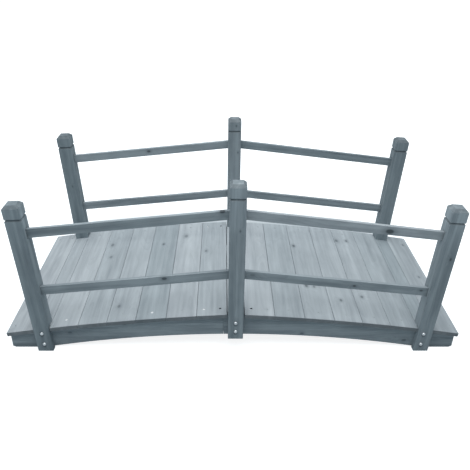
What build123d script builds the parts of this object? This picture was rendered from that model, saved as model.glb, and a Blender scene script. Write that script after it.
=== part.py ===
"""
Small arched garden footbridge in stained softwood.

Two bowed side beams, each half-lapped at the crown, carry a deck of boards laid across.
Six square posts are notched over the side beams, and each pair of neighbouring posts
carries a top rail and a low rail in mortises.

X runs along the bridge, Y across it and Z up.
The origin is on the ground, under the middle of the deck.
"""
import math
import os

from build123d import *

os.makedirs("parts", exist_ok=True)

# Deck line: a short flat crown, with one long gentle arc falling away on each side
deck_length = 1522.0
deck_width = 660.0
crown_height = 148.8
crown_flat = 57.0
crown_slope = 3.1
deck_radius = 7200.0

# Boards: in each bay the ones next to the crown are wide, and the others fill what is left
board_thickness = 14.0
board_gap = 0.9
board_rounding = 1.6
boards_per_bay = 6
wide_boards_per_bay = 3
wide_board_width = 99.8
crown_board_width = 54.4
crown_board_gap = 2.6
narrow_board_margin = 0.6
board_overhang = 16.0

# Side beams
beam_thickness = 27.0
arch_height = 56.5
beam_end_setback = 6.0
foot_length = 100.0
foot_corner_length = 10.0
foot_corner_height = 5.0
lap_length = 81.0
lap_gap = 0.6

# Posts
end_post_inset = 117.0
post_size = 51.0
post_rounding = 2.5
tongue_thickness = 21.0
tongue_clearance = 1.0
end_post_lean = 3.1
end_post_height = 452.5
crown_post_height = 466.5
crown_post_drop = 4.0
head_chamfer = 9.5
groove_depth = 3.8
groove_below_top = 46.5

# Rails and the mortises that hold them
rail_thickness = 12.0
rail_height = 31.0
rail_rounding = 1.5
rail_setback = 19.5
top_rail_end_height = 455.5
top_rail_crown_height = 527.0
low_rail_end_height = 245.0
low_rail_crown_height = 313.5
mortise_depth = 17.0
mortise_front_clearance = 5.0
mortise_back_clearance = 1.0
mortise_top_clearance = 2.5
rail_end_clearance = 0.8

# Places along the bridge, measured from its middle
deck_half = deck_length / 2
end_post_x = deck_half - end_post_inset
beam_end = deck_half - beam_end_setback
toe = beam_end - foot_corner_length
foot_start = toe - foot_length

# Places across the bridge, measured from its middle
beam_face = deck_width / 2 - board_overhang
beam_back = beam_face - beam_thickness
post_face = beam_face + tongue_thickness
post_centre = post_face - post_size / 2
rail_centre = post_face - rail_setback - rail_thickness / 2

# Centre of the deck arc on the right-hand half
slope = math.radians(crown_slope)
arc_x = crown_flat / 2 - deck_radius * math.sin(slope)
arc_z = crown_height - deck_radius * math.cos(slope)
beam_radius = deck_radius - board_thickness

# The underside's arc rises from the feet to the crown
arch_radius = (foot_start**2 + arch_height**2) / (2 * arch_height)

lean = math.radians(end_post_lean)


def slope_at(x):
    """Fall of the deck in radians, at a distance x from the crown."""
    if x < crown_flat / 2:
        return 0.0
    return math.asin((x - arc_x) / deck_radius)


def deck_top(x):
    """Height of the top of the boards at a distance x from the crown."""
    if x < crown_flat / 2:
        return crown_height
    return arc_z + math.sqrt(deck_radius**2 - (x - arc_x) ** 2)


def beam_top(x):
    """Height of the top of a side beam at a distance x from the crown."""
    return arc_z + math.sqrt(beam_radius**2 - (x - arc_x) ** 2)


def arch_underside(x):
    """Height of the arched underside of a side beam at a distance x from the crown."""
    return arch_height - arch_radius + math.sqrt(arch_radius**2 - x**2)


def arc_length(x):
    """Length along the deck arc, from its highest point to a distance x from the crown."""
    return deck_radius * math.asin((x - arc_x) / deck_radius)


def x_at(length):
    """The x at a length along the deck arc."""
    return arc_x + deck_radius * math.sin(length / deck_radius)


def leaning_plane(origin, angle):
    """Plane at an origin, with its normal leaning from upright towards +X by an angle."""
    return Plane(
        origin=origin,
        x_dir=(math.cos(angle), 0, -math.sin(angle)),
        z_dir=(math.sin(angle), 0, math.cos(angle)),
    )


def board_plane(side, x):
    """Plane on top of the board whose middle is at x, on the left (-1) or right (1) half."""
    return leaning_plane((side * x, 0, deck_top(x)), side * slope_at(x))


def deck_board(name, plane, width, length):
    """One board, laid face up on its plane, with its top edges eased."""
    with BuildPart() as board:
        with BuildSketch(plane):
            Rectangle(width, length)
        extrude(amount=-board_thickness)
        top_face = board.faces().sort_by(Axis(plane.origin, plane.z_dir))[-1]
        fillet(top_face.edges(), radius=board_rounding)
    board.part.label = name
    export_step(board.part, f"parts/{name}.step")


# Deck, from the crown outwards: six boards, a narrow one under the posts, and the end board
post_tilt = slope_at(end_post_x) - lean
tongue_shift = board_thickness * math.tan(post_tilt)
narrow_board_width = post_size / math.cos(post_tilt) + tongue_shift + narrow_board_margin
narrow_board_start = arc_length(end_post_x) - narrow_board_width / 2
end_board_start = narrow_board_start + narrow_board_width + board_gap
end_board_width = arc_length(deck_half) - end_board_start
short_board_length = 2 * (beam_face - tongue_clearance)

bay_start = arc_length(crown_board_width / 2 + crown_board_gap)
wide_end = bay_start + wide_boards_per_bay * (wide_board_width + board_gap)
fill_boards_per_bay = boards_per_bay - wide_boards_per_bay
fill_board_width = (narrow_board_start - wide_end) / fill_boards_per_bay - board_gap
bay_widths = wide_boards_per_bay * [wide_board_width] + fill_boards_per_bay * [fill_board_width]

deck_board("crown_narrow_board", board_plane(1, 0), crown_board_width, short_board_length)

for side_name, side in (("left", -1), ("right", 1)):
    board_start = bay_start
    for number, width in enumerate(bay_widths, start=1):
        middle = x_at(board_start + width / 2)
        deck_board(f"{side_name}_deck_board_{number}", board_plane(side, middle), width, deck_width)
        board_start += width + board_gap
    post_plane = board_plane(side, end_post_x)
    deck_board(f"{side_name}_narrow_board", post_plane, narrow_board_width, short_board_length)
    end_plane = board_plane(side, x_at(end_board_start + end_board_width / 2))
    deck_board(f"{side_name}_end_board", end_plane, end_board_width, deck_width)


def side_view(y):
    """Upright plane along the bridge at a distance y across it, drawn on from the front."""
    return Plane(origin=(0, y, 0), x_dir=(1, 0, 0), z_dir=(0, -1, 0))


def side_beam(name, side, row, lap_is_outer):
    """Half a side beam: bowed top, arched underside, flat foot, and a half lap at the crown."""
    lap_end = lap_gap - lap_length / 2
    flat_height = crown_height - board_thickness
    flat_end = arc_x + math.sqrt(beam_radius**2 - (flat_height - arc_z) ** 2)

    def point(x, z):
        return (side * x, z)

    def top_point(x):
        return point(x, beam_top(abs(x)))

    def under_point(x):
        return point(x, arch_underside(x))

    far_face = max(row * beam_face, row * beam_back)
    with BuildPart() as beam:
        with BuildSketch(side_view(far_face)):
            with BuildLine():
                ThreePointArc(under_point(lap_end), under_point(foot_start / 2), point(foot_start, 0))
                corner = point(beam_end, foot_corner_height)
                Polyline(point(foot_start, 0), point(toe, 0), corner, top_point(beam_end))
                ThreePointArc(top_point(beam_end), top_point(beam_end / 2), top_point(flat_end))
                Polyline(top_point(flat_end), point(-flat_end, flat_height), top_point(lap_end))
                Line(top_point(lap_end), under_point(lap_end))
            make_face()
        extrude(amount=beam_thickness)
        lap_middle = row * (beam_face - beam_thickness / 2)
        cut_towards = -row if lap_is_outer else row
        cut_face = max(lap_middle, lap_middle + cut_towards * beam_thickness)
        with BuildSketch(side_view(cut_face)):
            Rectangle(lap_length, 4 * crown_height)
        extrude(amount=beam_thickness, mode=Mode.SUBTRACT)
    beam.part.label = name
    export_step(beam.part, f"parts/{name}.step")


for row_name, row in (("front", -1), ("back", 1)):
    side_beam(f"{row_name}_left_side_beam", -1, row, lap_is_outer=False)
    side_beam(f"{row_name}_right_side_beam", 1, row, lap_is_outer=True)


def rail_slope(end_height, top_height):
    """Fall of a rail in radians, from the crown post out to an end post."""
    return math.atan2(top_height - end_height, end_post_x)


def rail_plane(side, row, end_height, top_height, distance):
    """Plane across a rail at a distance from the crown post's middle, with its top edge at y = 0."""
    fall = rail_slope(end_height, top_height)
    along = (side * math.cos(fall), 0, -math.sin(fall))
    start = Plane(origin=(0, row * rail_centre, top_height), x_dir=(0, side, 0), z_dir=along)
    return start.offset(distance)


def end_face_distance(end_height, top_height):
    """Distance along a rail from the crown post's middle to the end post's inner face."""
    fall = rail_slope(end_height, top_height)
    rise = top_height - deck_top(end_post_x)
    across = end_post_x * math.cos(lean) + rise * math.sin(lean) - post_size / 2
    return across / math.cos(fall - lean)


rail_levels = {
    "top": (top_rail_end_height, top_rail_crown_height),
    "low": (low_rail_end_height, low_rail_crown_height),
}
mortise_width = rail_thickness + mortise_front_clearance + mortise_back_clearance
mortise_height = rail_height + mortise_top_clearance
mortise_shift = (mortise_front_clearance - mortise_back_clearance) / 2
mortise_middle = (mortise_top_clearance - rail_height) / 2
crown_socket_end = post_size / 2 - mortise_depth


def mortises(side, row):
    """Planes across the rails of one post, on the blind ends of its mortises, with each rail's side."""
    blind_ends = []
    for end_height, top_height in rail_levels.values():
        if side == 0:
            for rail_side in (-1, 1):
                plane = rail_plane(rail_side, row, end_height, top_height, crown_socket_end)
                blind_ends.append((plane, rail_side))
        else:
            blind_end = end_face_distance(end_height, top_height) + mortise_depth
            blind_ends.append((rail_plane(side, row, end_height, top_height, blind_end), side))
    return blind_ends


def post(name, side, row):
    """One post: chamfered head, groove below it, mortises, and a tongue below the deck."""
    is_crown = side == 0
    post_x = 0 if is_crown else end_post_x
    seat = board_plane(side or 1, post_x)
    axis = leaning_plane((side * post_x, row * post_centre, deck_top(post_x)), side * lean)
    top = crown_post_height if is_crown else end_post_height
    foot = arch_underside(0) - crown_post_drop if is_crown else 0.0
    waist = post_size - 2 * groove_depth
    head_top = post_size - 2 * head_chamfer
    groove = top - groove_below_top
    outwards = 1 if is_crown else -1
    levels = [
        (groove - groove_depth, post_size, post_rounding),
        (groove, waist, post_rounding / 2),
        (groove + groove_depth, post_size, post_rounding),
        (top - head_chamfer, post_size, post_rounding),
        (top, head_top, post_rounding / 2),
    ]
    with BuildPart() as body:
        with BuildSketch(axis.offset(levels[0][0])):
            RectangleRounded(post_size, post_size, post_rounding)
        extrude(amount=-levels[0][0] - deck_top(post_x) - post_size)
        for (low, low_size, low_round), (high, high_size, high_round) in zip(levels, levels[1:]):
            with BuildSketch(axis.offset(low)):
                RectangleRounded(low_size, low_size, low_round)
            with BuildSketch(axis.offset(high)):
                RectangleRounded(high_size, high_size, high_round)
            loft(ruled=True)
        with BuildSketch(Plane.XY.offset(foot)):
            with Locations((side * post_x, row * post_centre)):
                Rectangle(6 * post_size, 3 * post_size)
        extrude(amount=-3 * crown_height, mode=Mode.SUBTRACT)
        with BuildSketch(seat):
            with Locations((0, row * (beam_face - post_size))):
                Rectangle(4 * post_size, 2 * post_size)
        extrude(amount=-3 * crown_height, mode=Mode.SUBTRACT)
        for blind_end, rail_side in mortises(side, row):
            with BuildSketch(blind_end):
                with Locations((rail_side * row * mortise_shift, mortise_middle)):
                    Rectangle(mortise_width, mortise_height)
            extrude(amount=outwards * 2 * mortise_depth, mode=Mode.SUBTRACT)
    body.part.label = name
    export_step(body.part, f"parts/{name}.step")


def rail(name, side, row, end_height, top_height):
    """One straight rail, from the crown post's mortise to the end post's."""
    start = crown_socket_end + rail_end_clearance
    finish = end_face_distance(end_height, top_height) + mortise_depth - rail_end_clearance
    with BuildPart() as bar:
        with BuildSketch(rail_plane(side, row, end_height, top_height, start)):
            with Locations((0, -rail_height / 2)):
                RectangleRounded(rail_thickness, rail_height, rail_rounding)
        extrude(amount=finish - start)
    bar.part.label = name
    export_step(bar.part, f"parts/{name}.step")


for row_name, row in (("front", -1), ("back", 1)):
    post(f"{row_name}_left_post", -1, row)
    post(f"{row_name}_crown_post", 0, row)
    post(f"{row_name}_right_post", 1, row)
    for side_name, side in (("left", -1), ("right", 1)):
        for level, (end_height, top_height) in rail_levels.items():
            rail(f"{row_name}_{side_name}_{level}_rail", side, row, end_height, top_height)
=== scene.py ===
import math
from functools import partial

import bpy
from mathutils import Euler, Matrix, Vector


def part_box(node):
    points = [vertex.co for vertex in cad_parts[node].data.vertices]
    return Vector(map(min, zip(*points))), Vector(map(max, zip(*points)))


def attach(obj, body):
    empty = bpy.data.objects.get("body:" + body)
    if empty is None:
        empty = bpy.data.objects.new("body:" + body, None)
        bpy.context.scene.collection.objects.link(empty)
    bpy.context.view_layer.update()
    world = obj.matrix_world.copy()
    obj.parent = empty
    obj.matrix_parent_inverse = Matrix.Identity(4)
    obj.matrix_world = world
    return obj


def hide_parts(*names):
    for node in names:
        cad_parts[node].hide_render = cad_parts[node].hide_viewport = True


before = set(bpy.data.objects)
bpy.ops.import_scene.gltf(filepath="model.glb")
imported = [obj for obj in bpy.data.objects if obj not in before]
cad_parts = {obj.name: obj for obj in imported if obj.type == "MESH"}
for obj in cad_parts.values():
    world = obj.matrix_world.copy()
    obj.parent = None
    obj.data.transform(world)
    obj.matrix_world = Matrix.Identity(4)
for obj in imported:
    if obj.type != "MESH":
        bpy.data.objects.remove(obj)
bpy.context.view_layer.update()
bpy.ops.object.select_all(action="DESELECT")

# Side beams: four half beams of planed softwood, bowed on top and arched below, half-lapped behind
# the crown posts. The whole bridge has one thin blue-grey water stain, brushed on after planing, which
# leaves the growth rings, the fibres and the knots to be seen through it.
MM = 0.001
stain_pale = "#B3BCC1"
stain_full = "#929BA1"
# The heart and rim colours serve the knots and also the painted shadows drawn as knots
knot_and_shadow_heart = "#4D555A"
knot_and_shadow_rim = "#6F797F"

# The grain: the width of a ring, and each pattern's length along the grain, width across it and detail
growth_ring = 4.6 * MM
grain_patterns = {
    "bend": (380 * MM, 90 * MM, 1.0),
    "streaks": (320 * MM, 14 * MM, 1.6),
    "tones": (700 * MM, 40 * MM, 1.0),
    "mottle": (75 * MM, 24 * MM, 2.0),
    "fibres": (50 * MM, 1.6 * MM, 2.0),     # real fibres are finer: drawn this coarse so that they show
}
ring_bend = (0, 30 * MM, 50 * MM)
ring_change = 95.0              # the rings' width changes about every 10 mm
ring_unevenness = 2.5
late_wood_sharpness = 2.2

# How much stain each pattern holds, from 0 for the pale colour to 1 for the full one, and the patterns'
# mean, which is taken off so that each piece has half the stain on the whole
stain_held = {"late_wood": 0.18, "streaks": 1.1, "tones": 0.9, "mottle": 0.6, "fibres": 0.20}
stain_held_mean = 1.46
cut_end_stain = 0.40
extra_coat = (1.18, 1.0, 0.94)  # powers of a piece's tone, which holds painted shade too: a darker piece is made bluer, as more stain would
ring_relief = 0.10
fibre_relief = 0.16
relief_strength = 0.8
planed_roughness = 0.56
stain_roughness = 0.12
stain_gloss = 0.35

# A knot, and a painted shadow drawn as one, in its own radii: how far the rings swell round it,
# and where its heart and its rim fade out
swell_reach = 5.5
swell_height = 2.4 * growth_ring
heart_fade = (0.55, 1.15)
rim_fade = (1.0, 2.6)
rim_darkness = 0.5
knot_and_shadow_length = 0.62              # distances along the grain count this much, so knots and painted shadows are longer that way

# The cosines between grain and face from which a cut slants or is square
slant_cut = (0.3, 0.65)
square_cut = (0.8, 0.95)
far_end = (0.2, 0.9)            # where a piece's painted far light begins and is full, in half lengths


def linear_colour(hex_value):
    """An sRGB hex colour as the linear values that a shader takes."""
    parts = [int(hex_value[i:i + 2], 16) / 255 for i in (1, 3, 5)]
    return [c / 12.92 if c <= 0.04045 else ((c + 0.055) / 1.055) ** 2.4 for c in parts] + [1.0]


def grey(share):
    """A neutral colour that multiplies another by this share."""
    return [share, share, share, 1.0]


def add_node(tree, kind, *values, output=0, named=None, **settings):
    """Adds a node with its settings and returns one of its outputs.

    The values go to its first inputs in order and the named ones to the inputs of that name or number,
    each as a link where it is another node's output.
    """
    made = tree.nodes.new(kind)
    for name, value in settings.items():
        setattr(made, name, value)
    for name, value in [*enumerate(values), *(named or {}).items()]:
        if isinstance(value, bpy.types.NodeSocket):
            tree.links.new(value, made.inputs[name])
        else:
            made.inputs[name].default_value = value
    return made.outputs[output] if made.outputs else None


def empty_material(name):
    """A new material with no nodes, and its node tree."""
    made = bpy.data.materials.new(name)
    made.use_nodes = True
    made.node_tree.nodes.clear()
    return made, made.node_tree


def stained_softwood(
    name, node, turn, pith, seed, tone_and_shade=1.0, figure=1.0, ends=0.56, slants=0.8, far_painted_light=1.0, knots_and_shadows=(),
    through="Z",
):
    """Stained softwood for one piece, cut from a log whose pith runs beside it.

    turn sets local X along the grain, pith is where the log's middle lies across the piece, and figure
    is how strong the grain looks. ends and slants multiply the colour of the faces cut square across
    the grain and of those that slant across it, and far_painted_light, a painted lightening, that of the end
    at
    +X. Each knot is its place, its radius and how dark it is, and runs through the piece along its
    local Y or Z; painted shadows are given and drawn the same way as knots.
    """
    material, tree = empty_material(name)
    add = partial(add_node, tree)
    low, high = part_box(node)
    centre = (low + high) / 2
    grain_turn = Euler(turn, "XYZ")
    into_piece = grain_turn.to_matrix().inverted()
    grain_way = grain_turn.to_matrix() @ Vector((1, 0, 0))
    on_piece = add("ShaderNodeTexCoord", output="Object")
    placed = add("ShaderNodeMapping", on_piece, centre, grain_turn, vector_type="TEXTURE")

    # Each piece shows another part of the patterns
    shifted = (seed * 7.3, seed * 3.1, seed * 1.7)
    patterns = {}
    for pattern, (length, width, detail) in grain_patterns.items():
        stretch = (1 / length, 1 / width, 1 / width)
        stretched = add("ShaderNodeMapping", placed, shifted, named={"Scale": stretch}, vector_type="POINT")
        patterns[pattern] = add(
            "ShaderNodeTexNoise", stretched, output="Color" if pattern == "bend" else "Fac",
            named={"Scale": 1.0, "Detail": detail},
        )

    # The growth rings bend slowly along the log
    bend = add("ShaderNodeVectorMath", patterns["bend"], (0.5, 0.5, 0.5), operation="SUBTRACT")
    bend = add("ShaderNodeVectorMath", bend, ring_bend, operation="MULTIPLY")
    bent = add("ShaderNodeVectorMath", placed, bend, operation="ADD")
    from_pith = add("ShaderNodeVectorMath", bent, (0, *pith), operation="SUBTRACT")
    from_pith = add("ShaderNodeVectorMath", from_pith, (0, 1, 1), operation="MULTIPLY")
    radius = add("ShaderNodeVectorMath", from_pith, output="Value", operation="LENGTH")

    # Knots, and painted shadows drawn as knots: the rings swell round each, and its heart is dark
    across = (knot_and_shadow_length, 1, 0) if through == "Z" else (knot_and_shadow_length, 0, 1)
    heart = 0.0
    rim = 0.0
    for place, size, darkness in knots_and_shadows:
        mark_place = into_piece @ (Vector(place) - centre)
        away = add("ShaderNodeVectorMath", placed, mark_place, operation="SUBTRACT")
        away = add("ShaderNodeVectorMath", away, across, operation="MULTIPLY")
        away = add("ShaderNodeVectorMath", away, output="Value", operation="LENGTH")
        swell = add(
            "ShaderNodeMapRange", away, 0.0, swell_reach * size, swell_height, 0.0,
            interpolation_type="SMOOTHSTEP",
        )
        radius = add("ShaderNodeMath", radius, swell, operation="ADD")
        this_heart = add(
            "ShaderNodeMapRange", away, heart_fade[0] * size, heart_fade[1] * size, darkness, 0.0,
            interpolation_type="SMOOTHSTEP",
        )
        heart = add("ShaderNodeMath", heart, this_heart, operation="MAXIMUM")
        this_rim = add(
            "ShaderNodeMapRange", away, rim_fade[0] * size, rim_fade[1] * size, rim_darkness * darkness,
            0.0, interpolation_type="SMOOTHSTEP",
        )
        rim = add("ShaderNodeMath", rim, this_rim, operation="MAXIMUM")

    # Each ring darkens slowly towards its late wood and then ends sharply
    ring_noise = add("ShaderNodeMath", radius, ring_change, seed, operation="MULTIPLY_ADD")
    ring_noise = add(
        "ShaderNodeTexNoise", named={"W": ring_noise, "Scale": 1.0, "Detail": 1.0}, noise_dimensions="1D"
    )
    uneven = add("ShaderNodeMath", ring_noise, ring_unevenness, operation="MULTIPLY")
    ring = add("ShaderNodeMath", radius, 1 / growth_ring, uneven, operation="MULTIPLY_ADD")
    ring = add("ShaderNodeMath", ring, operation="FRACT")
    patterns["late_wood"] = add("ShaderNodeMath", ring, late_wood_sharpness, operation="POWER")

    # Cut ends drink more stain
    facing = add("ShaderNodeTexCoord", output="Normal")
    facing = add("ShaderNodeVectorMath", facing, grain_way, output="Value", operation="DOT_PRODUCT")
    facing = add("ShaderNodeMath", facing, operation="ABSOLUTE")
    cut_end = add("ShaderNodeMapRange", facing, *slant_cut, 0.0, 1.0, interpolation_type="SMOOTHSTEP")
    square_end = add("ShaderNodeMapRange", facing, *square_cut, 0.0, 1.0, interpolation_type="SMOOTHSTEP")
    stain = 0.5 - stain_held_mean * figure
    for pattern, held in stain_held.items():
        stain = add("ShaderNodeMath", patterns[pattern], held * figure, stain, operation="MULTIPLY_ADD")
    stain = add("ShaderNodeMath", cut_end, cut_end_stain, stain, operation="MULTIPLY_ADD", use_clamp=True)

    coat = [tone_and_shade**power for power in extra_coat] + [1.0]
    pale = [part * share for part, share in zip(linear_colour(stain_pale), coat)]
    full = [part * share for part, share in zip(linear_colour(stain_full), coat)]
    mix = partial(add, "ShaderNodeMix", output=2, data_type="RGBA")
    colour = mix(stain, named={6: pale, 7: full})
    cut_shade = mix(square_end, named={6: grey(slants), 7: grey(ends)})
    colour = mix(cut_end, named={6: colour, 7: cut_shade}, blend_type="MULTIPLY")
    # Painted light: the colour is made paler towards the end at +X
    if far_painted_light != 1.0:
        half_length = max(high - low) / 2
        along = add("ShaderNodeSeparateXYZ", placed, output="X")
        far = add(
            "ShaderNodeMapRange", along, far_end[0] * half_length, far_end[1] * half_length, 0.0, 1.0,
            interpolation_type="SMOOTHSTEP",
        )
        colour = mix(far, named={6: colour, 7: grey(far_painted_light)}, blend_type="MULTIPLY")
    # The dark hearts and rims of knots and of painted shadows
    if knots_and_shadows:
        colour = mix(rim, named={6: colour, 7: linear_colour(knot_and_shadow_rim)})
        colour = mix(heart, named={6: colour, 7: linear_colour(knot_and_shadow_heart)})

    height = add("ShaderNodeMath", patterns["fibres"], fibre_relief, operation="MULTIPLY")
    height = add("ShaderNodeMath", patterns["late_wood"], ring_relief, height, operation="MULTIPLY_ADD")
    bump = add("ShaderNodeBump", named={"Height": height, "Distance": MM, "Strength": relief_strength})
    rough = add("ShaderNodeMath", stain, stain_roughness, planed_roughness, operation="MULTIPLY_ADD")
    shader = add("ShaderNodeBsdfPrincipled", named={
        "Base Color": colour, "Roughness": rough, "Normal": bump, "Specular IOR Level": stain_gloss,
    })
    add("ShaderNodeOutputMaterial", shader)
    return material


def dress(node, material):
    """Gives a CAD node its finish."""
    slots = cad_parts[node].data.materials
    if len(slots) == 0:
        slots.append(material)
    for i in range(len(slots)):
        slots[i] = material


along_beam = (0, 0, 0)
upright_figure = 1.8            # the beams, posts and rails show more grain than the boards
# Each tone here holds the beam's own tone and painted shade, most on the front beams' shaded faces
beam_timber = {
    "front_left_side_beam": dict(pith=(-0.03, 0.02), seed=1, tone_and_shade=0.784, knots_and_shadows=[
        ((-0.372, -0.314, 0.098), 5 * MM, 0.5), ((-0.556, -0.314, 0.062), 5 * MM, 0.5)]),
    "front_right_side_beam": dict(pith=(-0.04, -0.03), seed=2, tone_and_shade=0.777, knots_and_shadows=[
        ((0.227, -0.314, 0.058), 5 * MM, 0.6), ((0.583, -0.314, 0.03), 6 * MM, 0.6)]),
    "back_left_side_beam": dict(pith=(0.03, 0.04), seed=3, tone_and_shade=0.94, knots_and_shadows=[
        ((-0.30, 0.314, 0.09), 6 * MM, 0.6), ((-0.62, 0.314, 0.05), 5 * MM, 0.6)]),
    "back_right_side_beam": dict(pith=(0.035, -0.02), seed=4, tone_and_shade=0.96, knots_and_shadows=[
        ((0.18, 0.314, 0.10), 5 * MM, 0.6), ((0.47, 0.314, 0.06), 7 * MM, 0.6)]),
}
for node, timber in beam_timber.items():
    finish = stained_softwood(
        f"stained_softwood_{node}", node, along_beam, figure=upright_figure, through="Y", **timber
    )
    dress(node, finish)

# Deck: seventeen planed boards laid across the beams. Fourteen of them are held at both ends by
# countersunk steel screws over the beam: two an end beside the crown and on the end boards, else one.
along_board = (0, 0, math.radians(90))
board_far_painted_light = 1.13           # painted light: the stain is paler towards the far ends, which the back rails shade
screw_line = 294 * MM
screw_pair = 27 * MM
screw_head_radius = 4.3 * MM
screw_head_height = 2.6 * MM
screw_neck_radius = 1.9 * MM
recess_length = 4.4 * MM
recess_width = 0.9 * MM
recess_depth = 1.1 * MM
screw_edge = 0.15 * MM
countersink_radius = 4.45 * MM
countersink_taper = 0.5
hole_above = 3 * MM             # how far the cutter stands over the board
weld_distance = 0.01 * MM

# How deep a screw head sits below the board's top
flush = 0.15 * MM
shallow = 0.4 * MM
deep = 4.5 * MM


def top_face(node):
    """A point on a board's top face, and its normal."""
    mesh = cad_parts[node].data
    largest = max((p for p in mesh.polygons if p.normal.z > 0.9), key=lambda p: p.area)
    return largest.center.copy(), largest.normal.copy()


def on_top(node, x, y):
    """The matrix that stands a piece upright on a board's top plane, at x and y."""
    point, normal = top_face(node)
    z = point.z - (normal.x * (x - point.x) + normal.y * (y - point.y)) / normal.z
    return Matrix.Translation((x, y, z)) @ normal.to_track_quat("Z", "Y").to_matrix().to_4x4()


def apply_place(piece):
    """Moves a piece's place and turn into its mesh."""
    piece.data.transform(piece.matrix_world)
    piece.matrix_world = Matrix.Identity(4)


def select_only(*pieces):
    """Selects these pieces alone and makes the first one active."""
    bpy.ops.object.select_all(action="DESELECT")
    for piece in pieces:
        piece.select_set(True)
    bpy.context.view_layer.objects.active = pieces[0]


def apply_modifiers(piece):
    """Applies all of a piece's modifiers."""
    select_only(piece)
    for modifier in list(piece.modifiers):
        bpy.ops.object.modifier_apply(modifier=modifier.name)


def cut_away(piece, cutter):
    """Cuts one mesh out of another and removes the cutter."""
    cut = piece.modifiers.new("cut", "BOOLEAN")
    cut.operation = "DIFFERENCE"
    cut.object = cutter
    cut.solver = "EXACT"
    apply_modifiers(piece)
    bpy.data.objects.remove(cutter)


def soften_edges(piece, width, segments):
    """Bevels a piece's sharp edges."""
    edge = piece.modifiers.new("edge", "BEVEL")
    edge.width = width
    edge.segments = segments
    edge.limit_method = "ANGLE"
    apply_modifiers(piece)


def join(pieces, name):
    """Joins pieces into one mesh."""
    select_only(*pieces)
    if len(pieces) > 1:
        bpy.ops.object.join()
    joined = bpy.context.view_layer.objects.active
    joined.name = name
    joined.data.name = name
    return joined


def copy_to(pattern, place, name):
    """A copy of a modelled piece, with its own mesh, put at a place."""
    made = bpy.data.objects.new(name, pattern.data.copy())
    bpy.context.scene.collection.objects.link(made)
    made.data.transform(place)
    return made


def zinc_plated_steel(name, hex_value, dullness):
    """Zinc-plated steel: a cool grey metal with a soft, slightly patchy gloss."""
    patch_size = 2.5 * MM
    patch_spread = 0.2
    material, tree = empty_material(name)
    add = partial(add_node, tree)
    patches = add("ShaderNodeTexNoise", named={
        "Vector": add("ShaderNodeTexCoord", output="Object"), "Scale": 1 / patch_size, "Detail": 2.0,
    })
    rough = add("ShaderNodeMapRange", patches, 0.0, 1.0, dullness, dullness + patch_spread)
    shader = add("ShaderNodeBsdfPrincipled", named={
        "Base Color": linear_colour(hex_value), "Metallic": 1.0, "Roughness": rough,
    })
    add("ShaderNodeOutputMaterial", shader)
    return material


def stained_over_steel(name):
    """A screw head that the brush went over: a matt, uneven film of the deck's stain."""
    film_patch = 3 * MM
    material, tree = empty_material(name)
    add = partial(add_node, tree)
    film = add("ShaderNodeTexNoise", named={
        "Vector": add("ShaderNodeTexCoord", output="Object"), "Scale": 1 / film_patch, "Detail": 2.0,
    })
    colour = add(
        "ShaderNodeMix", film, output=2, data_type="RGBA",
        named={6: linear_colour("#9AA5AA"), 7: linear_colour("#B4BDC1")},
    )
    shader = add("ShaderNodeBsdfPrincipled", named={
        "Base Color": colour, "Roughness": 0.55, "Specular IOR Level": stain_gloss,
    })
    add("ShaderNodeOutputMaterial", shader)
    return material


def screw_pattern(finish):
    """A countersunk head with a cross recess, its top at z = 0."""
    bpy.ops.object.select_all(action="DESELECT")
    bpy.ops.mesh.primitive_cone_add(
        vertices=24, radius1=screw_neck_radius, radius2=screw_head_radius, depth=screw_head_height,
        location=(0, 0, -screw_head_height / 2),
    )
    head = bpy.context.object
    for angle in (0, 90):
        bpy.ops.mesh.primitive_cube_add(size=1, location=(0, 0, 0), rotation=(0, 0, math.radians(angle)))
        arm = bpy.context.object
        arm.scale = (recess_length, recess_width, 2 * recess_depth)
        cut_away(head, arm)
    soften_edges(head, screw_edge, 1)
    apply_place(head)
    head.data.materials.clear()
    head.data.materials.append(finish)
    return head


def countersink_pattern(depth):
    """The hole that a screw head leaves, with its mouth at z = 0."""
    bpy.ops.object.select_all(action="DESELECT")
    bpy.ops.mesh.primitive_cylinder_add(
        vertices=24, radius=countersink_radius, depth=depth + hole_above,
        location=(0, 0, (hole_above - depth) / 2),
    )
    hole = bpy.context.object
    bpy.ops.object.mode_set(mode="EDIT")
    bpy.ops.mesh.select_mode(type="FACE")
    bpy.ops.mesh.select_all(action="DESELECT")
    bpy.ops.object.mode_set(mode="OBJECT")
    for face in hole.data.polygons:
        face.select = face.normal.z < -0.9
    bpy.ops.object.mode_set(mode="EDIT")
    bpy.ops.mesh.extrude_region_move(TRANSFORM_OT_translate={"value": (0, 0, -screw_head_height)})
    bpy.ops.transform.resize(value=(countersink_taper, countersink_taper, 1))
    bpy.ops.object.mode_set(mode="OBJECT")
    apply_place(hole)
    return hole


bare_screw = screw_pattern(zinc_plated_steel("bright_zinc_plated_steel", "#D9DCDD", 0.42))
stained_screw = screw_pattern(stained_over_steel("stained_over_steel"))
holes = {depth: countersink_pattern(depth) for depth in (flush, shallow, deep)}

# Where the screws are: a shift from the board's middle along the bridge, and how deep the head sits
one_screw = [(0.0, flush)]
left_pair = [(-screw_pair, shallow), (screw_pair, deep)]
right_pair = [(-screw_pair, deep), (screw_pair, flush)]
end_pair = [(-screw_pair, flush), (screw_pair, flush)]
board_screws = {"left_deck_board_1": left_pair, "right_deck_board_1": right_pair}
for side in ("left", "right"):
    board_screws[f"{side}_end_board"] = end_pair
    for number in range(2, 7):
        board_screws[f"{side}_deck_board_{number}"] = one_screw

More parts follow.
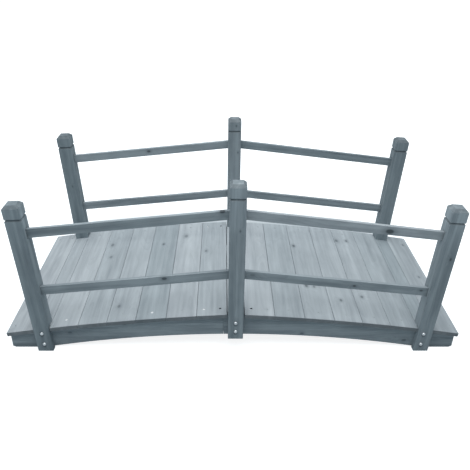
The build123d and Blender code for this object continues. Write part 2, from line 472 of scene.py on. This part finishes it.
# Heads that the stain has come off or never covered, by their shift and their end of the board
bare_heads = {
    "left_deck_board_1": [(-screw_pair, -1), (-screw_pair, 1)],
    "left_deck_board_3": [(0.0, -1)],
    "left_deck_board_6": [(0.0, -1)],
}
board_timber = {
    "left_end_board": dict(pith=(0.03, -0.06), seed=11, tone_and_shade=1.088),
    "left_narrow_board": dict(pith=(0.0, -0.05), seed=12, tone_and_shade=1.035),
    "left_deck_board_6": dict(pith=(-0.02, -0.05), seed=13, tone_and_shade=1.052),
    "left_deck_board_5": dict(pith=(0.02, -0.04), seed=14, tone_and_shade=0.957, knots_and_shadows=[
        ((-0.4968, 0.1937, 0.108), 8 * MM, 0.5), ((-0.487, 0.0966, 0.109), 7 * MM, 0.42)]),
    "left_deck_board_4": dict(pith=(-0.03, -0.05), seed=15, tone_and_shade=0.978, knots_and_shadows=[
        ((-0.399, -0.244, 0.119), 6 * MM, 0.5)]),
    "left_deck_board_3": dict(pith=(0.03, -0.04), seed=16, tone_and_shade=0.831, knots_and_shadows=[
        ((-0.284, 0.165, 0.130), 5 * MM, 0.7)]),
    "left_deck_board_2": dict(pith=(-0.01, -0.07), seed=17, tone_and_shade=1.045, knots_and_shadows=[
        ((-0.195, 0.220, 0.138), 8 * MM, 0.45)]),
    "left_deck_board_1": dict(pith=(0.01, -0.035), seed=18, tone_and_shade=0.97, knots_and_shadows=[
        ((-0.1095, 0.0906, 0.144), 6 * MM, 0.5)]),
    "crown_narrow_board": dict(pith=(0.0, -0.06), seed=19, tone_and_shade=1.02),
    "right_deck_board_1": dict(pith=(-0.02, -0.05), seed=20, tone_and_shade=1.042),
    "right_deck_board_2": dict(pith=(0.01, -0.06), seed=21, tone_and_shade=0.929),
    "right_deck_board_3": dict(pith=(0.03, -0.04), seed=22, tone_and_shade=0.971, knots_and_shadows=[
        ((0.245, 0.1515, 0.134), 6 * MM, 0.8), ((0.260, -0.134, 0.1326), 6 * MM, 0.7),
        ((0.288, -0.137, 0.130), 5 * MM, 0.5), ((0.334, 0.2936, 0.126), 6 * MM, 0.5)]),
    "right_deck_board_4": dict(pith=(-0.02, -0.045), seed=23, tone_and_shade=0.984, knots_and_shadows=[
        ((0.374, -0.2086, 0.122), 5.5 * MM, 0.6)]),
    "right_deck_board_5": dict(pith=(0.02, -0.05), seed=24, tone_and_shade=0.986, knots_and_shadows=[
        ((0.436, 0.229, 0.115), 7 * MM, 0.6), ((0.4795, 0.236, 0.110), 6 * MM, 0.6),
        ((0.4567, -0.1756, 0.113), 5.5 * MM, 0.6)]),
    "right_deck_board_6": dict(pith=(-0.01, -0.06), seed=25, tone_and_shade=0.927),
    "right_narrow_board": dict(pith=(0.0, -0.05), seed=26, tone_and_shade=0.799),
    "right_end_board": dict(pith=(0.02, -0.05), seed=27, tone_and_shade=0.974, knots_and_shadows=[
        ((0.7364, 0.2651, 0.0758), 5 * MM, 0.5), ((0.7285, 0.011, 0.077), 5 * MM, 0.5)]),
}
for node, timber in board_timber.items():
    finish = stained_softwood(
        f"stained_softwood_{node}", node, along_board, far_painted_light=board_far_painted_light, **timber
    )
    dress(node, finish)
    if node not in board_screws:
        continue
    board = bpy.data.objects.new(f"{node}_drilled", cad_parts[node].data.copy())
    bpy.context.scene.collection.objects.link(board)
    select_only(board)
    bpy.ops.mesh.customdata_custom_splitnormals_clear()
    bpy.ops.object.mode_set(mode="EDIT")
    bpy.ops.mesh.select_all(action="SELECT")
    bpy.ops.mesh.remove_doubles(threshold=weld_distance)
    bpy.ops.object.mode_set(mode="OBJECT")
    low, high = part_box(node)
    heads = []
    cutters = []
    for shift, sunk in board_screws[node]:
        for row in (-1, 1):
            seat = on_top(node, (low.x + high.x) / 2 + shift, row * screw_line)
            down = Matrix.Translation((0, 0, -sunk))
            driven = Matrix.Rotation(0.7 * shift / MM + row, 4, "Z")    # each cross ends another way round
            pattern = bare_screw if (shift, row) in bare_heads.get(node, ()) else stained_screw
            heads.append(copy_to(pattern, seat @ down @ driven, "head"))
            cutters.append(copy_to(holes[sunk], seat, "hole"))
    cut_away(board, join(cutters, "countersinks"))
    bpy.ops.object.shade_smooth_by_angle(angle=math.radians(30))
    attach(board, "root")
    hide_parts(node)
    screws = join(heads, f"{node}_screws")
    bpy.ops.object.shade_smooth_by_angle(angle=math.radians(30))
    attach(screws, "root")

for pattern in (bare_screw, stained_screw, *holes.values()):
    bpy.data.objects.remove(pattern)

# Posts: six square softwood posts with chamfered heads, notched over the beams and held there by two
# coach bolts each: a domed head outside, and a washer and nut on the inner face of the beam.
post_ends = 0.80                # the share of its colour that a post keeps on its head's top
post_slant_stain_and_shade = 0.70              # and on the chamfers and in the groove: partly end grain's darker stain, partly painted shade that keeps the chamfers facing up as dark as the faces
front_post_head_painted_light = 1.22      # painted light: the stain is paler towards the heads, which the lamp reaches from above only
bolt_size = 6 * MM
bolt_head_radius = 6 * MM
bolt_head_height = 3.6 * MM
nut_flats = 10 * MM
nut_height = 5 * MM
washer_radius = 8.5 * MM
washer_thickness = 1.5 * MM
washer_edge = 0.3 * MM
nut_edge = 0.5 * MM
thread_pitch = 1 * MM
thread_turns = 5
thread_root = 0.86              # the thread's inner width over its outer one
end_bolt_heights = (72 * MM, 28.5 * MM)
crown_bolt_heights = (117 * MM, 82 * MM)
bolt_shift = {"front_right_post": -4.5 * MM}    # these two are drilled beside the post's middle
bolt_shadow_drop = Vector((0, 0, 2 * MM))              # a painted shadow, just below a bolt's middle
# The painted shadow's radius and darkness
bolt_shadow_radius = 8 * MM
bolt_shadow_darkness = 0.6
bolt_steel = zinc_plated_steel("dull_zinc_plated_steel", "#DCE0E2", 0.24)


def post_lean(node):
    """How far a post leans from upright towards +X, from its box and its size across the bridge."""
    low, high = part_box(node)
    across = high.y - low.y
    lean = math.atan2(high.x - low.x - across, high.z - low.z)
    return lean if (low.x + high.x) > 0 else -lean


def coach_bolt_pattern(reach):
    """A coach bolt lying along +Y, its head's seat at y = 0, that ends at y = reach."""
    dome_radius = (bolt_head_radius**2 + bolt_head_height**2) / (2 * bolt_head_height)
    bpy.ops.object.select_all(action="DESELECT")
    bpy.ops.mesh.primitive_uv_sphere_add(
        segments=32, ring_count=24, radius=dome_radius, location=(0, dome_radius - bolt_head_height, 0),
        rotation=(math.radians(90), 0, 0),
    )
    bolt = bpy.context.object
    apply_place(bolt)
    bpy.ops.object.mode_set(mode="EDIT")
    bpy.ops.mesh.select_mode(type="FACE")
    bpy.ops.mesh.select_all(action="SELECT")
    bpy.ops.mesh.bisect(plane_co=(0, 0, 0), plane_no=(0, 1, 0), use_fill=True, clear_outer=True)
    bpy.ops.object.mode_set(mode="OBJECT")
    for face in bolt.data.polygons:
        face.select = face.normal.y > 0.9 and abs(face.center.y) < weld_distance
    bpy.ops.object.mode_set(mode="EDIT")
    bpy.ops.mesh.inset(thickness=bolt_head_radius - bolt_size / 2)
    shank = reach - thread_turns * thread_pitch
    bpy.ops.mesh.extrude_region_move(TRANSFORM_OT_translate={"value": (0, shank, 0)})
    for turn in range(thread_turns):
        for width in (thread_root, 1 / thread_root):
            bpy.ops.mesh.extrude_region_move(TRANSFORM_OT_translate={"value": (0, thread_pitch / 2, 0)})
            bpy.ops.transform.resize(value=(width, 1, width))
    bpy.ops.object.mode_set(mode="OBJECT")
    bpy.ops.object.shade_smooth_by_angle(angle=math.radians(40))
    bolt.data.materials.clear()
    bolt.data.materials.append(bolt_steel)
    return bolt


def disc_pattern(sides, radius, thickness, bevel, smooth_angle):
    """A washer or a nut lying along +Y, from y = 0."""
    bpy.ops.object.select_all(action="DESELECT")
    bpy.ops.mesh.primitive_cylinder_add(
        vertices=sides, radius=radius, depth=thickness, location=(0, thickness / 2, 0),
        rotation=(math.radians(90), 0, 0),
    )
    disc = bpy.context.object
    soften_edges(disc, bevel, 2)
    apply_place(disc)
    bpy.ops.object.shade_smooth_by_angle(angle=math.radians(smooth_angle))
    disc.data.materials.append(bolt_steel)
    return disc


post_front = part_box("front_crown_post")[0].y
beam_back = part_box("front_left_side_beam")[1].y
timber_depth = beam_back - post_front
bolt = coach_bolt_pattern(timber_depth + washer_thickness + nut_height + thread_turns * thread_pitch)
washer = disc_pattern(32, washer_radius, washer_thickness, washer_edge, 40)
nut = disc_pattern(6, nut_flats / math.sqrt(3), nut_height, nut_edge, 30)

# Each tone here holds the post's own tone and painted shade, which darkens the posts' upright faces
post_timber = {
    "front_left_post": dict(pith=(0.01, 0.05), seed=31, tone_and_shade=0.648),
    "front_crown_post": dict(pith=(-0.012, 0.03), seed=32, tone_and_shade=0.735, knots_and_shadows=[
        ((0.008, -0.335, 0.4646), 3 * MM, 0.6)]),
    "front_right_post": dict(pith=(0.02, -0.05), seed=33, tone_and_shade=0.728, knots_and_shadows=[
        ((0.669, -0.335, 0.3686), 4 * MM, 0.9)]),
    "back_left_post": dict(pith=(0.03, 0.04), seed=34, tone_and_shade=0.581, knots_and_shadows=[
        ((-0.655, 0.284, 0.33), 3 * MM, 0.6)]),
    "back_crown_post": dict(pith=(-0.02, 0.045), seed=35, tone_and_shade=0.746, knots_and_shadows=[
        ((0.006, 0.2845, 0.592), 4 * MM, 0.6), ((0.014, 0.2845, 0.4835), 3 * MM, 0.5)]),
    "back_right_post": dict(pith=(-0.04, -0.03), seed=36, tone_and_shade=0.649),
}
for index, (node, timber) in enumerate(post_timber.items()):
    lean = post_lean(node)
    low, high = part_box(node)
    is_crown = "crown" in node
    is_back = "back" in node
    facing = Matrix.Rotation(math.pi, 4, "Z") if is_back else Matrix.Identity(4)
    face_y = high.y if is_back else low.y
    bolt_places = {}
    for level, height in zip(("upper", "lower"), crown_bolt_heights if is_crown else end_bolt_heights):
        bolt_x = 0.0
        if not is_crown:
            bolt_x = (low.x + high.x) / 2 - math.tan(lean) * ((low.z + high.z) / 2 - height)
        bolt_places[level] = Vector((bolt_x + bolt_shift.get(node, 0.0), face_y, height))

    # Painted shadow below each bolt head, drawn as a small dark knot
    bolt_shadows = [(place - bolt_shadow_drop, bolt_shadow_radius, bolt_shadow_darkness) for place in bolt_places.values()]
    timber["knots_and_shadows"] = timber.get("knots_and_shadows", []) + bolt_shadows
    along_post = (0, lean - math.radians(90), 0)
    finish = stained_softwood(
        f"stained_softwood_{node}", node, along_post, figure=upright_figure, ends=post_ends,
        slants=post_slant_stain_and_shade, far_painted_light=1.0 if is_back else front_post_head_painted_light, through="Y", **timber
    )
    dress(node, finish)
    for level, place in bolt_places.items():
        seat = Matrix.Translation(place) @ facing
        spin = Matrix.Rotation(0.9 * index + place.z / MM, 4, "Y")      # each is driven another way round
        after_timber = Matrix.Translation((0, timber_depth, 0))
        after_washer = Matrix.Translation((0, timber_depth + washer_thickness, 0))
        for name, pattern, there in (
            ("coach_bolt", bolt, seat @ spin),
            ("washer", washer, seat @ after_timber @ spin),
            ("nut", nut, seat @ after_washer @ spin),
        ):
            piece = copy_to(pattern, there, f"{node}_{level}_{name}")
            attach(piece, "root")

for pattern in (bolt, washer, nut):
    bpy.data.objects.remove(pattern)

# Rails: eight straight planed softwood rails, let into blind mortises in the posts and falling from the
# crown post to the end posts.
rail_height = 31 * MM
# Each tone here holds the rail's own tone and painted shade, which darkens the rails' upright faces
rail_timber = {
    "front_left_top_rail": dict(pith=(0.02, 0.03), seed=41, tone_and_shade=0.717, knots_and_shadows=[
        ((-0.0463, -0.314, 0.5206), 6 * MM, 1.0)]),
    "front_left_low_rail": dict(pith=(0.03, -0.03), seed=42, tone_and_shade=0.786, knots_and_shadows=[
        ((-0.2305, -0.314, 0.2805), 6 * MM, 0.9)]),
    "front_right_top_rail": dict(pith=(0.02, -0.03), seed=43, tone_and_shade=0.959, knots_and_shadows=[
        ((0.4687, -0.314, 0.4569), 9 * MM, 1.0)]),
    "front_right_low_rail": dict(pith=(0.03, 0.02), seed=44, tone_and_shade=0.77, knots_and_shadows=[
        ((0.0512, -0.314, 0.296), 6 * MM, 0.4), ((0.3833, -0.314, 0.255), 4 * MM, 0.9),
        ((0.6056, -0.314, 0.2374), 4 * MM, 0.8)]),
    "back_left_top_rail": dict(pith=(0.02, 0.03), seed=45, tone_and_shade=0.781, knots_and_shadows=[
        ((-0.3408, 0.299, 0.4768), 5 * MM, 0.9)]),
    "back_left_low_rail": dict(pith=(0.03, -0.03), seed=46, tone_and_shade=0.765),
    "back_right_top_rail": dict(pith=(0.03, 0.03), seed=47, tone_and_shade=0.634),
    "back_right_low_rail": dict(pith=(0.02, -0.04), seed=48, tone_and_shade=0.731),
}
for node, timber in rail_timber.items():
    low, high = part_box(node)
    fall = math.atan2(high.z - low.z - rail_height, high.x - low.x)
    along_rail = (0, fall if (low.x + high.x) > 0 else -fall, 0)
    finish = stained_softwood(
        f"stained_softwood_{node}", node, along_rail, figure=upright_figure, through="Y", **timber
    )
    dress(node, finish)

# Studio: a plain pale floor that is lifted to white for the camera, a white surround that only the camera
# and reflections see, one wide soft lamp overhead and a weak cool light from all round.
floor_colour = "#BFC9CE"
floor_lift = 0.86               # the floor's glow about the bridge, which the lamp's light adds to
floor_white = (0.95, 1.9)       # how far from the middle the lift begins to grow, and where it is full
floor_reflected = 0.15

# The shade that the floor keeps: how much of the lift it takes, how fast it draws in behind the deck
# as it goes from the middle, and where it ends and is full beside, before and behind the deck
shade_taken = 0.95
shade_bow = 0.22
shade_beside = (0.76, 0.62)
shade_before = (-0.20, -0.10)
shade_behind = (0.80, 0.60)

surround_colour = "#D3E9F8"
surround_light = 0.155
surround_reflected = 0.4
lamp_power = 143.0
lamp_size = (4.4, 4.8)
lamp_place = Vector((-0.15, -0.10, 2.9))
lamp_target = Vector((0, 0, 0.2))

bpy.ops.object.select_all(action="DESELECT")
bpy.ops.mesh.primitive_plane_add(size=30, location=(0, 0, 0))
floor = bpy.context.object
floor.name = "studio_floor"
floor_finish, floor_tree = empty_material("studio_floor")
add = partial(add_node, floor_tree)
floor_place = add("ShaderNodeTexCoord", output="Object")
from_middle = add("ShaderNodeVectorMath", floor_place, output="Value", operation="LENGTH")
lift = add("ShaderNodeMapRange", from_middle, *floor_white, floor_lift, 1.0, interpolation_type="SMOOTHSTEP")

# Below the deck and close behind it the floor keeps the bridge's shade, so that the deck's joints look
# dark. The shade ends beside and before the deck, and in a bow behind it, as the deck does.
floor_x = add("ShaderNodeSeparateXYZ", floor_place, output="X")
floor_y = add("ShaderNodeSeparateXYZ", floor_place, output="Y")
beside = add("ShaderNodeMath", floor_x, operation="ABSOLUTE")
bowed = add("ShaderNodeMath", floor_x, floor_x, operation="MULTIPLY")
behind = add("ShaderNodeMath", bowed, shade_bow, floor_y, operation="MULTIPLY_ADD")
shaded = 1.0
for way, limits in ((beside, shade_beside), (floor_y, shade_before), (behind, shade_behind)):
    within = add("ShaderNodeMapRange", way, *limits, 0.0, 1.0, interpolation_type="SMOOTHSTEP")
    shaded = add("ShaderNodeMath", shaded, within, operation="MULTIPLY")
unshaded = add("ShaderNodeMath", shaded, -shade_taken, 1.0, operation="MULTIPLY_ADD")
lift = add("ShaderNodeMath", lift, unshaded, operation="MULTIPLY")
by_camera = add("ShaderNodeLightPath", output="Is Camera Ray")
by_gloss = add("ShaderNodeLightPath", output="Is Glossy Ray")
by_gloss = add("ShaderNodeMath", by_gloss, floor_reflected, operation="MULTIPLY")
seen = add("ShaderNodeMath", by_camera, by_gloss, operation="MAXIMUM")
seen_lift = add("ShaderNodeMath", seen, lift, operation="MULTIPLY")
matt = add("ShaderNodeBsdfDiffuse", linear_colour(floor_colour))
glow = add("ShaderNodeEmission", named={"Strength": seen_lift})
add("ShaderNodeOutputMaterial", add("ShaderNodeAddShader", matt, glow))
floor.data.materials.append(floor_finish)

world = bpy.data.worlds.new("studio_surround")
bpy.context.scene.world = world
world.use_nodes = True
world.node_tree.nodes.clear()
add = partial(add_node, world.node_tree)
by_camera = add("ShaderNodeLightPath", output="Is Camera Ray")
by_glass = add("ShaderNodeLightPath", output="Is Transmission Ray")
by_gloss = add("ShaderNodeLightPath", output="Is Glossy Ray")
by_gloss = add("ShaderNodeMath", by_gloss, surround_reflected, operation="MULTIPLY")
seen = add("ShaderNodeMath", by_camera, by_gloss, operation="MAXIMUM")
seen = add("ShaderNodeMath", seen, by_glass, operation="MAXIMUM")
strength = add("ShaderNodeMapRange", seen, 0.0, 1.0, surround_light, 1.0)
tint = add(
    "ShaderNodeMix", seen, output=2, data_type="RGBA",
    named={6: linear_colour(surround_colour), 7: grey(1.0)},
)
add("ShaderNodeOutputWorld", add("ShaderNodeBackground", tint, strength))

lamp = bpy.data.lights.new("key_softbox", "AREA")
lamp.shape = "RECTANGLE"
lamp.energy = lamp_power
lamp.size = lamp_size[0]
lamp.size_y = lamp_size[1]
lamp_holder = bpy.data.objects.new("key_softbox", lamp)
bpy.context.scene.collection.objects.link(lamp_holder)
lamp_holder.location = lamp_place
aim = lamp_target - lamp_place
lamp_holder.rotation_euler = (math.atan2(aim.y, -aim.z), -math.atan2(aim.x, -aim.z), 0)

# Camera: at the photograph's viewpoint and with its framing. Its place, turn and focal length were
# worked out from the bridge's own edges in the picture, together with the bridge's proportions.
image_width = 470
camera_place = (-0.04836, -1.80694, 1.26669)
camera_yaw = math.radians(2.06)
camera_pitch = math.radians(-29.08)
camera_roll = math.radians(1.36)
focal_length_px = 556.88
picture_centre_px = (239.17, 236.34)

camera_data = bpy.data.cameras.new("photo_camera")
camera = bpy.data.objects.new("photo_camera", camera_data)
bpy.context.scene.collection.objects.link(camera)
camera_data.sensor_fit = "AUTO"
camera_data.sensor_width = 36.0
camera_data.lens = focal_length_px * camera_data.sensor_width / image_width
camera_data.shift_x = (image_width / 2 - picture_centre_px[0]) / image_width
camera_data.shift_y = (picture_centre_px[1] - image_width / 2) / image_width
look = Matrix.Rotation(-camera_yaw, 4, "Z") @ Matrix.Rotation(math.pi / 2 + camera_pitch, 4, "X")
camera.matrix_world = Matrix.Translation(camera_place) @ look @ Matrix.Rotation(camera_roll, 4, "Z")
bpy.context.scene.camera = camera
bpy.context.scene.view_settings.view_transform = "Standard"
